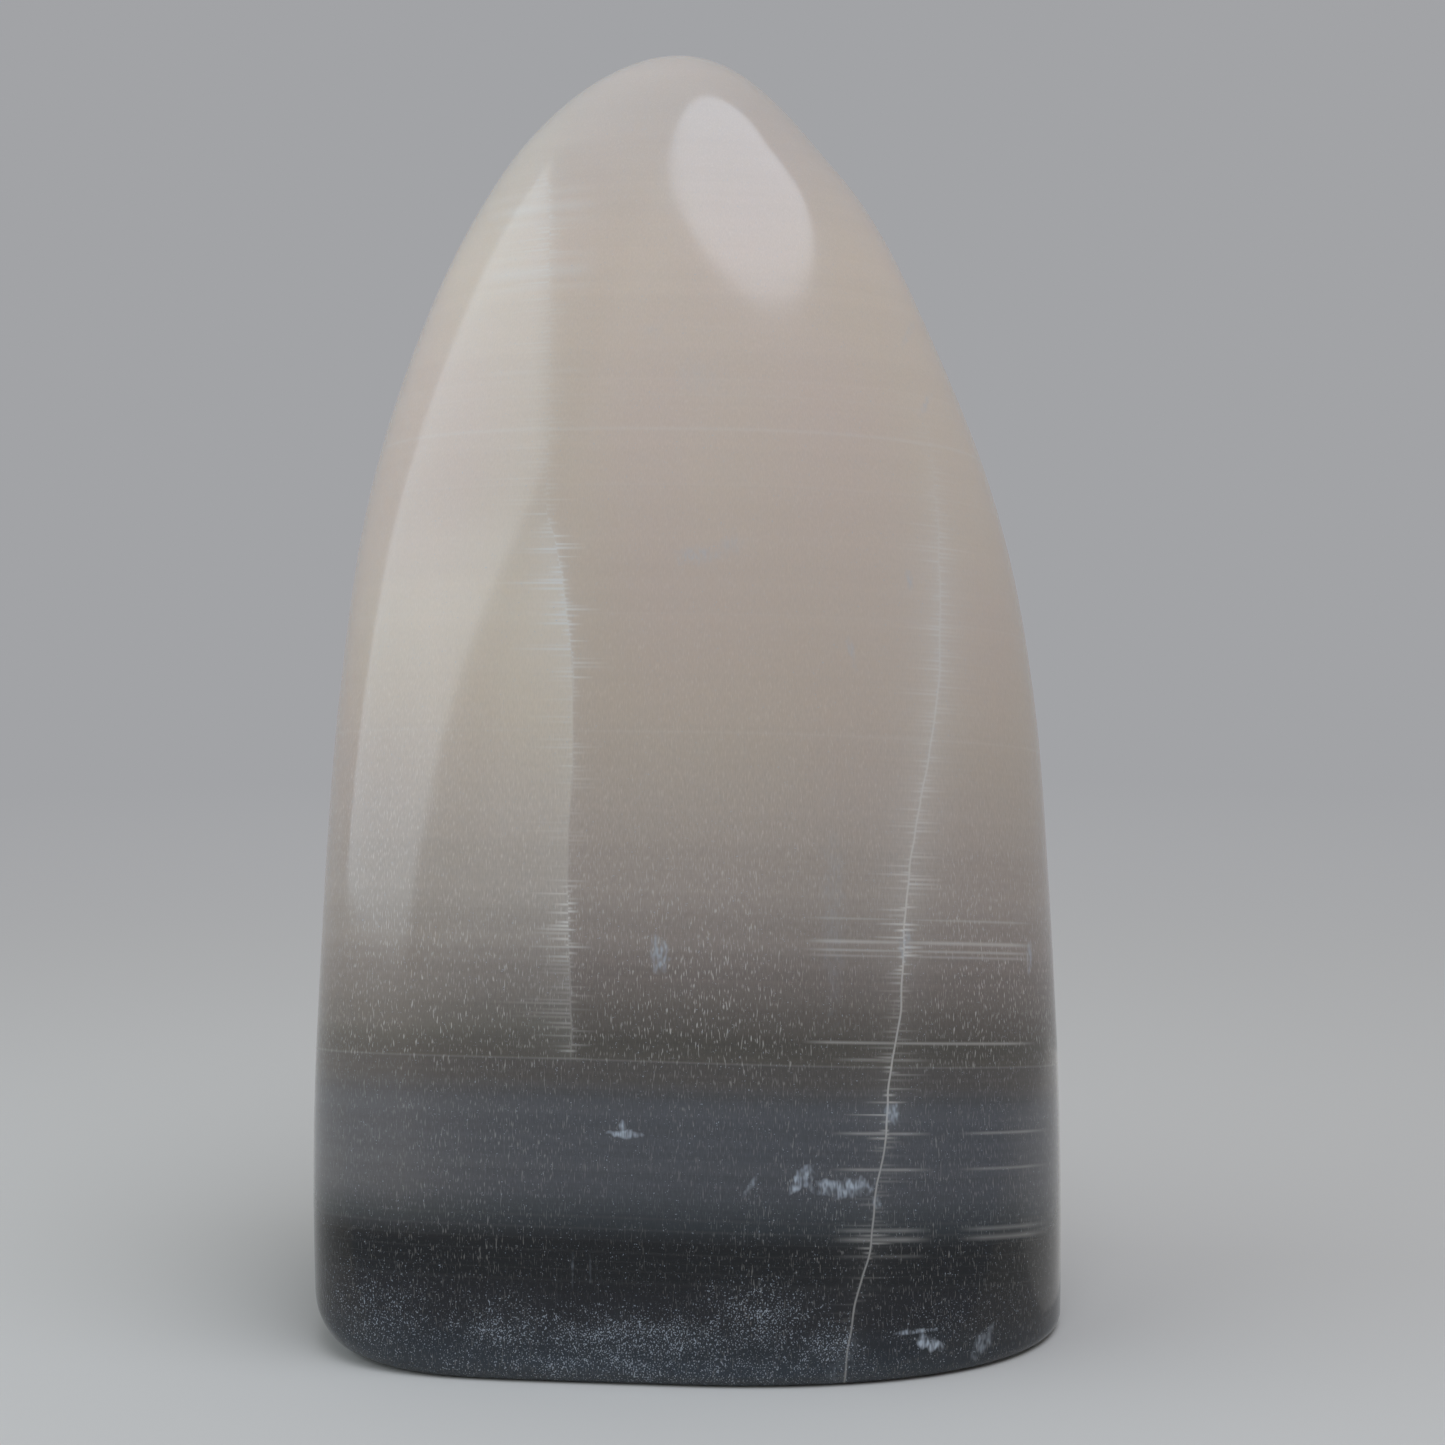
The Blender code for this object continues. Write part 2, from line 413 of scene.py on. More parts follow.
    # Slow waves of hand grinding, none on the flat cut
    position = add(tree, "GeometryNodeInputPosition")
    waves = add(tree, VECTOR, (position, size["Wave length"]), operation="DIVIDE")
    waves = add(tree, NOISE, {
        "Vector": waves, "W": size["Seed"], "Scale": 1.0, "Detail": 0.0,
    }, noise_dimensions="4D")
    waves = add(tree, RANGE, (waves, *NOISE_SPAN, -1.0, 1.0))
    height = add(tree, SPLIT, (position,)).outputs["Z"]
    above = add(tree, RANGE, (height, *WAVES_START), **SMOOTH)
    waves = chain(tree, "MULTIPLY", waves, above, size["Wave"])
    normal = add(tree, "GeometryNodeInputNormal")
    lift = add(tree, VECTOR, (normal, waves), operation="SCALE")
    dome = add(tree, "GeometryNodeSetPosition", {"Geometry": dome, "Offset": lift})

    smooth = add(tree, "GeometryNodeSetShadeSmooth", (dome,))
    real = add(tree, "GeometryNodeRealizeInstances", (smooth,))
    done = {"Geometry": real, "Material": size["Material"]}
    done = add(tree, "GeometryNodeSetMaterial", done)
    add(tree, "NodeGroupOutput", (done,))
    return tree


def grow(name, tree, values):
    """Object whose plain mesh is what the tree makes with these values of its inputs."""
    piece = bpy.data.objects.new(name, bpy.data.meshes.new(name))
    bpy.context.scene.collection.objects.link(piece)
    modifier = piece.modifiers.new("form", "NODES")
    modifier.node_group = tree
    for socket in tree.interface.items_tree:
        if socket.in_out == "INPUT":
            modifier[socket.identifier] = values[socket.name]
    made = piece.evaluated_get(bpy.context.evaluated_depsgraph_get())
    mesh = bpy.data.meshes.new_from_object(made)
    piece.modifiers.clear()
    piece.data = mesh
    mesh.name = name
    return piece


# The layers, in millimetres up the stone, measured where they cross its upright middle
LOWEST, SEAM, HIGHEST = -8.0, 23.8, 120.0
SEAM_BLUR = 0.05
OLIVE_TINT = (1.0, 1.0, 0.97, 1.0)
PINK_TINT = (1.0, 0.98, 0.98, 1.0)
NO_TINT = (1.0, 1.0, 1.0, 1.0)
# Paler, slightly greener tint left of the first crack: milkier crystal and painted window light
LIT_MILKY_TINT = (1.165, 1.205, 1.205, 1.0)
# Olive and pink lie in patches about this wide, deep and tall. This span of their noise
# goes from one to the other, and they set in over these layers
PATCH_SIZE = (15.0, 15.0, 20.0)
PATCH_SPAN = (0.35, 0.65)
TINTED_LAYERS = (30.0, 50.0)
# Slow sway of the layers, and how far apart its waves are, in millimetres
SWAY = 0.3
SWAY_LENGTH = 30.0
# Fine layering, a few tenths of a millimetre to 3 mm thick, and its strength up the layers
FINE_LAYERS = {"Scale": 0.4, "Detail": 4.0, "Roughness": 0.75}
FINE_STRENGTH = (8.0, 45.0, 0.80, 0.06)
# Upright grain of the crystal fibres, which stand across the layers: fibres to a
# millimetre, drawn about twice as coarse as real ones, and its strength up the layers
FIBRE_GRAIN = (11.0, 11.0, 1.8)
FIBRE_STRENGTH = (20.0, 60.0, 0.40, 0.10)
# Calcite bends light by 1.66 or 1.49, depending on its direction; one value stands for both
CALCITE_IOR = 1.55
# How far red, green and blue light wander in it, as shares of the translucency
WANDERING_LIGHT = (1.0, 0.85, 0.7)
# Colours up the layers, below the seam and above it
LAYERS_BELOW = (
    (-8.0, "ink"), (-2.5, "ink"), (1.5, "charcoal"), (3.8, "charcoal"), (5.2, "soot"),
    (8.1, "soot"), (9.9, "dusk"), (13.2, "slate"), (20.2, "slate"), (22.2, "olive"), (23.8, "olive"),
)
LAYERS_ABOVE = (
    (23.8, "umber"), (25.6, "umber"), (31.0, "loam"), (37.0, "taupe"), (45.0, "dove"),
    (55.0, "fawn"), (74.0, "beige"), (94.0, "blush"), (108.0, "cap"), (120.0, "cap"),
)

# Partings: white lines along a layer, between two places across the front of the stone in
# millimetres. Layer, half thickness and whiteness of each
PARTINGS = {
    (-17.5, -8.5): (
        (83.2, 0.35, 0.18), (91.0, 0.5, 0.20), (92.5, 1.0, 0.36), (94.0, 0.5, 0.20),
        (97.3, 0.5, 0.22), (98.7, 0.8, 0.38), (100.2, 0.6, 0.18),
    ),
    (13.0, 20.0): (
        (7.5, 0.22, 0.16), (8.95, 0.34, 0.36), (9.75, 0.30, 0.28), (15.0, 0.20, 0.38),
        (18.1, 0.20, 0.40), (24.4, 0.22, 0.30),
    ),
    (24.0, 31.0): ((8.95, 0.34, 0.26), (9.75, 0.30, 0.22), (15.0, 0.20, 0.24), (18.1, 0.20, 0.28)),
    (10.5, 29.5): (
        (25.85, 0.20, 0.42), (33.25, 0.20, 0.28), (33.72, 0.20, 0.40), (34.45, 0.26, 0.50),
        (36.4, 0.20, 0.28),
    ),
}
# How far a parting fades out beyond its ends, and in within them
FADE_OUT, FADE_IN = 1.0, 1.5

# Bruises: middle across and up in millimetres, half width, half height, lean, whiteness
Bruise = namedtuple("Bruise", "across up half_width half_height lean white")
BRUISES = [Bruise(*row) for row in (
    (-2.3, 37.2, 0.8, 1.5, 0.0, 0.80), (0.6, 70.6, 2.0, 0.8, 0.5, 0.36),
    (3.6, 71.4, 1.3, 0.9, 0.5, 0.24), (1.0, 85.6, 2.2, 2.0, 0.0, 0.12),
    (-3.0, 89.6, 1.4, 0.8, 0.0, 0.14), (-5.3, 21.9, 1.3, 0.40, 0.0, 1.40),
    (-5.5, 22.5, 0.35, 0.6, 0.0, 0.90), (9.6, 18.2, 0.9, 1.2, 0.5, 1.20),
    (13.2, 17.4, 2.8, 0.85, 0.0, 1.00), (20.8, 3.2, 1.0, 0.9, -0.8, 1.50),
    (19.2, 4.4, 2.0, 0.22, -0.8, 0.80), (25.6, 2.4, 0.9, 1.5, 0.5, 0.45),
    (18.8, 68.5, 0.32, 1.0, -0.2, 0.80), (13.8, 62.7, 0.3, 2.0, -0.2, 0.35),
    (19.1, 89.5, 0.4, 1.2, 0.5, 0.35), (20.5, 83.4, 0.4, 1.0, 0.5, 0.35),
    (29.8, 35.4, 0.3, 1.6, 0.0, 0.45), (5.3, 17.7, 0.35, 0.9, 0.5, 0.50),
    (18.4, 37.8, 0.6, 1.6, 0.0, 0.45), (17.2, 23.4, 0.7, 1.0, 0.0, 1.00),
    (16.0, 16.0, 0.4, 0.9, 0.0, 0.50), (12.3, 41.0, 1.0, 9.0, 0.0, 0.15),
    (12.6, 1.4, 1.2, 3.0, 0.5, 0.16), (-9.8, 10.4, 0.14, 2.2, 0.0, 0.20),
    (-8.3, 10.0, 0.14, 1.8, 0.0, 0.20),
)]
# Where their rims fade, and how fine their raggedness and feathers are, to a millimetre,
# and how strong
BRUISE_RIM = (1.2, -0.2)
RAGGED_GRAIN = (1.6, 1.6, 1.2)
RAGGED = (0.3, 0.7, -0.6, 0.6)
FEATHER_GRAIN = (5.0, 5.0, 1.6)
FEATHERS = (0.30, 0.65, 0.2, 1.0)

# Frost: thicker patches of the fine white specks near the foot of the front. Middle
# across and up, half width and half height in millimetres, and how thick it is
Frost = namedtuple("Frost", "across up half_width half_height amount")
FROST = [Frost(*row) for row in (
    (6.2, 6.0, 6.5, 3.8, 0.88), (-4.0, 4.2, 16.0, 3.2, 0.96),
    (-15.5, 4.6, 7.0, 3.4, 0.88), (11.4, 3.6, 4.5, 3.0, 0.85),
    (-26.0, 5.0, 6.5, 4.6, 0.66), (22.0, 4.2, 7.5, 3.4, 0.42),
    (-3.0, 1.8, 26.0, 2.4, 0.80),
)]
FROST_RIM = (1.25, 0.2)
# Elsewhere it lies round the foot, and everywhere in drifts
FROST_FOOT = (4.5, 0.5, 0.0, 0.8)
DRIFT_GRAIN = (0.5, 0.5, 0.8)
DRIFTS = (0.30, 0.62, 0.65, 1.08)
# Its specks are about 0.1 mm across, twice as coarse as real ones. The thicker it is, the
# lower the bar over which the grain is a speck, and the more they veil the stone
SPECK_GRAIN = (9.0, 9.0, 7.5)
SPECK_BAR = (0.0, 1.0, 0.76, 0.54)
SPECKS = (0.0, 0.10, 0.0, 0.62)
VEIL = 0.035
# Fine upright dashes, where the fibre grain is over this, their strength up the layers
# above and below the seam, and how uneven they are
DASHES = (0.66, 0.80)
DASHES_ABOVE = (32.0, 66.0, 0.46, 0.08)
DASHES_BELOW = (22.0, 26.0, 0.36, 1.0)
UNEVEN_DASHES = (0.0, 1.0, 0.5, 1.3)

# Healed cracks. Each runs up through the layers in a plane that cuts one side of the
# stone. `path` gives its place across that side at some layers, and `look` how strong its
# haze, its comb of fine partings and its own line are there. `comb` and `haze` say how far
# they reach on the left and on the right, in millimetres. Each is paired with one on the
# opposite side, so that the two are worked out as one
Crack = namedtuple("Crack", "side comb haze seed path look")
LEFT_PATH = (
    (23.5, -9.8), (29.0, -9.9), (42.0, -10.1), (49.5, -9.7), (55.0, -9.7), (63.0, -10.3),
    (68.5, -11.4), (70.5, -11.9), (80.0, -11.8), (104.0, -12.4),
)
RIGHT_PATH = (
    (-5.0, 13.2), (3.2, 14.2), (7.6, 15.3), (11.9, 15.9), (18.0, 16.7), (24.8, 17.4),
    (29.0, 18.0), (36.7, 18.4), (43.6, 19.2), (54.0, 21.0), (62.6, 21.5), (74.0, 21.2),
    (82.0, 20.0),
)
CRACKS = (
    (
        # Its haze, far stronger to the left, is partly painted light: the window's light that the
        # crack plane throws to its left, and near its top the window's highlight reaching the crack
        Crack("front", (6.5, 3.2), (2.2, 0.3), 3.0, LEFT_PATH, (
            (23.2, 0.00, 0.00, 0.00), (24.5, 0.12, 0.30, 0.16), (31.0, 0.10, 0.14, 0.12),
            (33.5, 0.16, 0.60, 0.14), (37.5, 0.16, 0.62, 0.14), (39.5, 0.12, 0.16, 0.12),
            (47.0, 0.12, 0.16, 0.12), (49.0, 0.14, 0.40, 0.12), (52.0, 0.12, 0.16, 0.12),
            (56.0, 0.26, 0.45, 0.16), (62.0, 0.40, 0.72, 0.18), (68.0, 0.38, 0.75, 0.06),
            (71.5, 0.14, 0.25, 0.0), (78.0, 0.06, 0.18, 0.0), (89.0, 0.06, 0.20, 0.0),
            (93.0, 0.08, 0.50, 0.0), (100.0, 0.08, 0.45, 0.0), (103.0, 0.0, 0.0, 0.0),
        )),
        Crack("back", (3.0, 5.0), (1.2, 9.0), 31.0, (
            (0.0, -8.5), (30.0, -7.0), (60.0, -6.2), (95.0, -4.5),
        ), (
            (2.0, 0.02, 0.06, 0.20), (20.0, 0.10, 0.25, 0.30), (45.0, 0.16, 0.35, 0.20),
            (70.0, 0.18, 0.45, 0.10), (96.0, 0.08, 0.15, 0.0), (104.0, 0.0, 0.0, 0.0),
        )),
    ),
    (
        Crack("front", (3.6, 3.4), (1.7, 1.6), 11.0, RIGHT_PATH, (
            (-6.0, 0.02, 0.03, 0.26), (3.0, 0.03, 0.06, 0.42), (7.0, 0.04, 0.14, 0.44),
            (8.8, 0.08, 0.65, 0.46), (10.2, 0.05, 0.14, 0.44), (16.5, 0.04, 0.12, 0.46),
            (18.4, 0.08, 0.50, 0.60), (20.8, 0.12, 0.60, 0.60), (22.2, 0.08, 0.18, 0.60),
            (24.3, 0.09, 0.50, 0.58), (25.6, 0.08, 0.18, 0.54), (30.0, 0.12, 0.20, 0.50),
            (33.0, 0.24, 0.55, 0.50), (37.5, 0.28, 0.60, 0.48), (42.0, 0.30, 0.28, 0.40),
            (55.0, 0.42, 0.20, 0.30), (66.0, 0.42, 0.24, 0.16), (76.0, 0.16, 0.14, 0.04),
            (84.0, 0.0, 0.0, 0.0),
        )),
        Crack("back", (4.0, 2.5), (2.0, 1.0), 43.0, (
            (0.0, 18.5), (35.0, 16.8), (70.0, 15.0),
        ), (
            (4.0, 0.0, 0.0, 0.0), (14.0, 0.08, 0.20, 0.35), (38.0, 0.18, 0.40, 0.25),
            (62.0, 0.10, 0.20, 0.05), (74.0, 0.0, 0.0, 0.0),
        )),
    ),
    (
        Crack("left", (3.0, 3.0), (2.0, 1.5), 57.0, (
            (0.0, 2.0), (40.0, 4.5), (80.0, 3.0),
        ), (
            (10.0, 0.0, 0.0, 0.0), (24.0, 0.12, 0.30, 0.25), (52.0, 0.16, 0.35, 0.10),
            (80.0, 0.0, 0.0, 0.0),
        )),
        Crack("right", (2.5, 4.0), (1.2, 3.0), 71.0, (
            (0.0, 1.0), (40.0, -2.0), (80.0, -3.5),
        ), (
            (-4.0, 0.02, 0.10, 0.20), (16.0, 0.10, 0.28, 0.35), (44.0, 0.18, 0.35, 0.18),
            (78.0, 0.0, 0.0, 0.0),
        )),
    ),
)
# Which way each side lies: the axis across it, the axis through it, and where the marks
# of that side begin and are whole along the latter, in millimetres
SIDES = {
    "front": ("X", "Y", 4.0, -6.0),
    "back": ("X", "Y", 0.0, 7.0),
    "left": ("Y", "X", -14.0, -24.0),
    "right": ("Y", "X", 16.0, 26.0),
}
# Where the second crack of a pair takes over, and the span that a path is drawn in
BACK_BEGINS = 1.0
PATH_SPAN = 80.0
# A crack wanders off its path by up to this much, once in this many millimetres
WANDER, WANDER_LENGTH = 0.12, 5.0
# Its own line, inwards from its edge. Line and partings are coarser than real ones, so
# that they show
CRACK_LINE = (0.13, 0.03)
# The comb: height of one parting and of a cluster, where in its height a parting shows, how
# far the clusters reach, how uneven the lengths are, the shortest length, how a parting
# fades outwards, its whiteness, and how far apart the seeds of the two sides are
COMB_STEP, COMB_CLUSTER = 0.38, 4.2
COMB_RIDGE = (0.42, 0.08)
CLUSTER_REACH = (0.34, 0.62, 0.45, 1.15)
COMB_UNEVEN = 1.5
COMB_SHORTEST = 0.02
COMB_FADE = (1.0, 0.20)
COMB_WHITE = (0.9, 0.3)
RIGHT_HAND_SEED = 37.0
# The haze: how much more slowly its far part thins out, and how strong its streaks are
FAR_HAZE = 0.25
HAZE_STREAKS = (0.16, 0.62)
CRACK_INPUTS = ("Distance", "Comb left", "Comb right", "Haze left", "Haze right", "Seed")

# The paler zone from the first crack to the left: a somewhat milkier part of the crystal, with
# painted light on it, the window's light that the crack plane throws to its left. Blur of its
# rim up the layers, where it starts over the seam and fades upwards, and where it ends
# towards the left
LIT_MILKY_BLUR = (64.0, 74.0, 0.08, 1.5)
LIT_MILKY_START = (24.2, 26.2)
LIT_MILKY_FADE = (73.0, 63.0, 0.12, 1.0)
LIT_MILKY_END = (-30.5, -22.0)

# Painted light: the left-hand end of the dark layers made paler, as if by the window's light
# falling there. Where it is whole, how far it reaches, its most and its strength, and where
# up the layers it begins, brightens and ends
END_PLACE, END_REACH = -29.0, 7.5
END_MOST, END_STRENGTH = 0.55, 0.19
END_BEGINS = (7.5, 12.5)
END_BRIGHTENS = (24.3, 26.2, 1.0, 1.75)
END_ENDS = (36.0, 48.0, 1.0, 0.0)

# Thin pale growth lines right round the stone: layer, half thickness and whiteness
GROWTH_LINES = (
    ((4.7, 0.30, 0.014), (5.7, 0.13, 0.016), (6.5, 0.10, 0.012), (7.3, 0.14, 0.018),
     (8.35, 0.10, 0.016), (9.3, 0.18, 0.026), (10.3, 0.22, 0.020)),
    ((14.6, 0.9, 0.014), (17.9, 0.4, 0.012), (19.9, 1.3, 0.014), (23.78, 0.15, 0.11)),
    ((51.9, 0.18, 0.10), (62.0, 0.16, 0.07), (73.1, 0.16, 0.08), (78.0, 0.22, 0.24),
     (81.0, 0.15, 0.08), (82.4, 0.15, 0.07)),
)


def crack_group():
    """Node group: how pale a healed crack makes the stone at a distance from it.

    Strengths holds those of its haze, its comb of fine partings and its own line.
    """
    tree = bpy.data.node_groups.new("healed crack", "ShaderNodeTree")
    face = tree.interface
    face.new_socket("Strengths", in_out="INPUT", socket_type="NodeSocketVector")
    for name in ("Layer", *CRACK_INPUTS):
        face.new_socket(name, in_out="INPUT", socket_type="NodeSocketFloat")
    face.new_socket("Paleness", in_out="OUTPUT", socket_type="NodeSocketFloat")
    given = add(tree, "NodeGroupInput").outputs
    strengths = add(tree, SPLIT, (given["Strengths"],)).outputs
    layer, seed = given["Layer"], given["Seed"]
    wander = add(tree, "MULTIPLY_ADD", (layer, 1.0 / WANDER_LENGTH, seed))
    wander = {"W": wander, "Scale": 1.0, "Detail": 1.0}
    wander = add(tree, NOISE, wander, noise_dimensions="1D")
    wander = add(tree, RANGE, (wander, *NOISE_SPAN, -WANDER, WANDER))
    distance = add(tree, "ADD", (given["Distance"], wander))
    to_right = add(tree, "GREATER_THAN", (distance, 0.0))
    far = add(tree, "ABSOLUTE", (distance,))

    # The comb: straight fine partings in clusters, each of its own length and whiteness
    seed = add(tree, "MULTIPLY_ADD", (to_right, RIGHT_HAND_SEED, seed))
    cells = add(tree, "MULTIPLY_ADD", (layer, 1.0 / COMB_STEP, seed))
    cells = add(tree, "ShaderNodeTexVoronoi", {"W": cells, "Scale": 1.0}, voronoi_dimensions="1D")
    chance = add(tree, SPLIT, (cells.outputs["Color"],)).outputs
    ridge = add(tree, RANGE, (cells.outputs["Distance"], *COMB_RIDGE))
    clusters = add(tree, "MULTIPLY_ADD", (layer, 1.0 / COMB_CLUSTER, seed))
    clusters = {"W": clusters, "Scale": 1.0, "Detail": 0.0}
    clusters = add(tree, NOISE, clusters, noise_dimensions="1D")
    clusters = add(tree, RANGE, (clusters, *CLUSTER_REACH))
    length = add(tree, "POWER", (chance["X"], COMB_UNEVEN))
    comb = add(tree, MIX, (to_right, given["Comb left"], given["Comb right"]))
    comb = chain(tree, "MULTIPLY", comb, length, clusters)
    comb = add(tree, "MAXIMUM", (comb, COMB_SHORTEST))
    comb = add(tree, "DIVIDE", (far, comb))
    comb = add(tree, RANGE, (comb, *COMB_FADE))
    bright = add(tree, "MULTIPLY_ADD", (chance["Y"], *COMB_WHITE))
    comb = chain(tree, "MULTIPLY", comb, bright, ridge, strengths["Y"])

    # The haze thins out away from the crack, first fast and then slowly, in faint streaks
    reach = add(tree, MIX, (to_right, given["Haze left"], given["Haze right"]))
    haze = add(tree, "DIVIDE", (far, reach))
    haze = add(tree, "MULTIPLY", (haze, -1.0))
    wide = add(tree, "MULTIPLY", (haze, FAR_HAZE))
    haze = add(tree, "EXPONENT", (haze,))
    wide = add(tree, "EXPONENT", (wide,))
    wide = add(tree, "MULTIPLY_ADD", (wide, strengths["X"], haze))
    streaks = add(tree, "MULTIPLY_ADD", (ridge, *HAZE_STREAKS))
    haze = chain(tree, "MULTIPLY", wide, streaks, strengths["X"])
    line = add(tree, RANGE, (far, *CRACK_LINE), **SMOOTH)
    line = add(tree, "MULTIPLY", (line, strengths["Z"]))
    pale = add(tree, "MAXIMUM", (comb, line))
    pale = add(tree, "ADD", (pale, haze), use_clamp=True)
    add(tree, "NodeGroupOutput", (pale,))
    return tree


def way_up(layer, lowest=LOWEST, highest=HIGHEST):
    """Share of the way from the lowest to the highest layer."""
    return (layer - lowest) / (highest - lowest)


def layer_height(tree, place, finish):
    """Height of the layer at a place, in millimetres, with a slight natural sway."""
    up = (math.tan(finish.dip_right), math.tan(finish.dip_back), 1.0)
    layer = add(tree, VECTOR, (place, up), operation="DOT_PRODUCT")
    sway = add(tree, NOISE, {"Vector": place, "Scale": 1.0 / SWAY_LENGTH, "Detail": 0.0})
    sway = add(tree, "ADD", (sway, -0.5))
    return add(tree, "MULTIPLY_ADD", (sway, SWAY, layer))


def layer_colour(tree, layer, finish):
    """Colour of the layers, with a sharp step at the seam."""
    ramps = []
    for lowest, highest, layers in ((LOWEST, SEAM, LAYERS_BELOW), (SEAM, HIGHEST, LAYERS_ABOVE)):
        place = add(tree, RANGE, (layer, lowest, highest))
        ramps.append(add(tree, RAMP, (place,)))
        fill_ramp(ramps[-1], [
            (way_up(at, lowest, highest), getattr(finish, name)) for at, name in layers
        ])
    above = add(tree, RANGE, (layer, SEAM - SEAM_BLUR, SEAM + SEAM_BLUR))
    return add(tree, MIX, (above, *ramps), data_type="RGBA")


def side_share(tree, axes, side):
    """1 on that side of the stone, falling to 0 away from it."""
    axis, begins, whole = SIDES[side][1:]
    return add(tree, RANGE, (axes[axis], begins, whole), **SMOOTH)


def crack_distance(tree, axes, share, crack):
    """Distance from a crack across its side of the stone, in millimetres."""
    path = add(tree, "ShaderNodeFloatCurve", {"Value": share})
    draw_curve(path, [(way_up(at), across / PATH_SPAN + 0.5) for at, across in crack.path])
    path = add(tree, "MULTIPLY_ADD", (path, PATH_SPAN, -PATH_SPAN / 2.0))
    return add(tree, "SUBTRACT", (axes[SIDES[crack.side][0]], path))


def crack_paleness(tree, axes, layer, share):
    """Paleness of all healed cracks together, each worked out with its opposite one."""
    group = crack_group()
    total = 0.0
    for pair in CRACKS:
        behind = axes[SIDES[pair[0].side][1]]
        behind = add(tree, "GREATER_THAN", (behind, BACK_BEGINS))
        here = [
            (crack_distance(tree, axes, share, crack), *crack.comb, *crack.haze, crack.seed)
            for crack in pair
        ]
        given = {"Layer": layer}
        for name, near, far in zip(CRACK_INPUTS, *here):
            given[name] = add(tree, MIX, (behind, near, far))
        looks = []
        for crack in pair:
            looks.append(add(tree, RAMP, (share,)))
            fill_ramp(looks[-1], [(way_up(at), (*look, 1.0)) for at, *look in crack.look])
        given["Strengths"] = add(tree, MIX, (behind, *looks), data_type="RGBA")
        pale = add(tree, "ShaderNodeGroup", given, node_tree=group)
        on_side = [side_share(tree, axes, crack.side) for crack in pair]
        on_side = add(tree, MIX, (behind, *on_side))
        pale = add(tree, "MULTIPLY", (pale, on_side))
        total = add(tree, "MAXIMUM", (total, pale))
    return total


def lit_milky_share(tree, axes, layer, share):
    """Paleness left of the left-hand crack: partly milkier crystal, partly painted light."""
    distance = crack_distance(tree, axes, share, CRACKS[0][0])
    blur = add(tree, RANGE, (layer, *LIT_MILKY_BLUR))
    left = add(tree, "DIVIDE", (distance, blur))
    left = add(tree, RANGE, (left, 1.0, -1.0))
    over = add(tree, RANGE, (layer, *LIT_MILKY_START))
    under = add(tree, RANGE, (layer, *LIT_MILKY_FADE))
    inner = add(tree, RANGE, (axes["X"], *LIT_MILKY_END))
    return chain(tree, "MULTIPLY", left, side_share(tree, axes, "front"), over, inner, under)


def painted_end_light(tree, axes, layer):
    """Share of painted light, which thickens towards the left-hand end of the dark layers."""
    off = (axes["X"], -1.0 / END_REACH, END_PLACE / END_REACH)
    haze = add(tree, "EXPONENT", (add(tree, "MULTIPLY_ADD", off),))
    haze = add(tree, "MINIMUM", (haze, END_MOST))
    begins = add(tree, RANGE, (layer, *END_BEGINS))
    brightens = add(tree, RANGE, (layer, *END_BRIGHTENS))
    ends = add(tree, RANGE, (layer, *END_ENDS))
    return chain(tree, "MULTIPLY", haze, END_STRENGTH, brightens, begins, ends)


def line_paleness(tree, layer, lines):
    """Paleness of thin lines along the layers: layer, half thickness and whiteness."""
    lowest = lines[0][0] - 2.0 * lines[0][1]
    highest = lines[-1][0] + 2.0 * lines[-1][1]
    stops = []
    for at, half, white in lines:
        for place, pale in ((at - half, 0.0), (at, white), (at + half, 0.0)):
            stops.append((way_up(place, lowest, highest), (pale, pale, pale, 1.0)))
    place = add(tree, RANGE, (layer, lowest, highest))
    ramp = add(tree, RAMP, (place,))
    fill_ramp(ramp, stops)
    return ramp


def parting_paleness(tree, across, layer):
    """Paleness of all partings together."""
    total = 0.0
    for (left, right), lines in PARTINGS.items():
        start = add(tree, RANGE, (across, left - FADE_OUT, left + FADE_IN))
        end = add(tree, RANGE, (across, right - FADE_IN, right + FADE_OUT, 1.0, 0.0))
        pale = chain(tree, "MULTIPLY", line_paleness(tree, layer, lines), start, end)
        total = add(tree, "MAXIMUM", (total, pale))
    return total


def growth_line_paleness(tree, layer):
    """Paleness of the thin growth lines that run right round the stone."""
    return chain(tree, "MAXIMUM", *[line_paleness(tree, layer, lines) for lines in GROWTH_LINES])


def fibres(tree, place, per_mm, detail):
    """Noise that is finer along the layers than up through them, like upright fibres."""
    stretched = add(tree, "ShaderNodeMapping", {"Vector": place, "Scale": per_mm})
    return add(tree, NOISE, {"Vector": stretched, "Scale": 1.0, "Detail": detail})


def off_middle(tree, place, across, patch):
    """Distance from the middle of an oval patch at this place across: 1 is at its rim."""
    shrink = (1.0 / patch.half_width, 0.0, 1.0 / patch.half_height)
    middle = (-across / patch.half_width, 0.0, -patch.up / patch.half_height)
    off = add(tree, VECTOR, (place, shrink, middle), operation="MULTIPLY_ADD")
    return add(tree, VECTOR, (off,), operation="LENGTH")


def bruise_paleness(tree, place, axes):
    """Paleness of the bruises: small feathery patches of crushed crystal."""
    ragged = add(tree, RANGE, (fibres(tree, place, RAGGED_GRAIN, 1.0), *RAGGED))
    leaning = {0.0: place}
    total = 0.0
    for bruise in BRUISES:
        lean = bruise.lean
        if lean not in leaning:
            across = add(tree, "MULTIPLY_ADD", (axes["Z"], -lean, axes["X"]))
            leaning[lean] = add(tree, "ShaderNodeCombineXYZ", {"X": across, "Z": axes["Z"]})
        off = off_middle(tree, leaning[lean], bruise.across - lean * bruise.up, bruise)
        off = add(tree, "MULTIPLY_ADD", (off, off, ragged))
        pale = add(tree, RANGE, (off, *BRUISE_RIM, 0.0, bruise.white))
        total = add(tree, "MAXIMUM", (total, pale))
    feathers = add(tree, RANGE, (fibres(tree, place, FEATHER_GRAIN, 0.0), *FEATHERS))
    return add(tree, "MULTIPLY", (total, feathers))


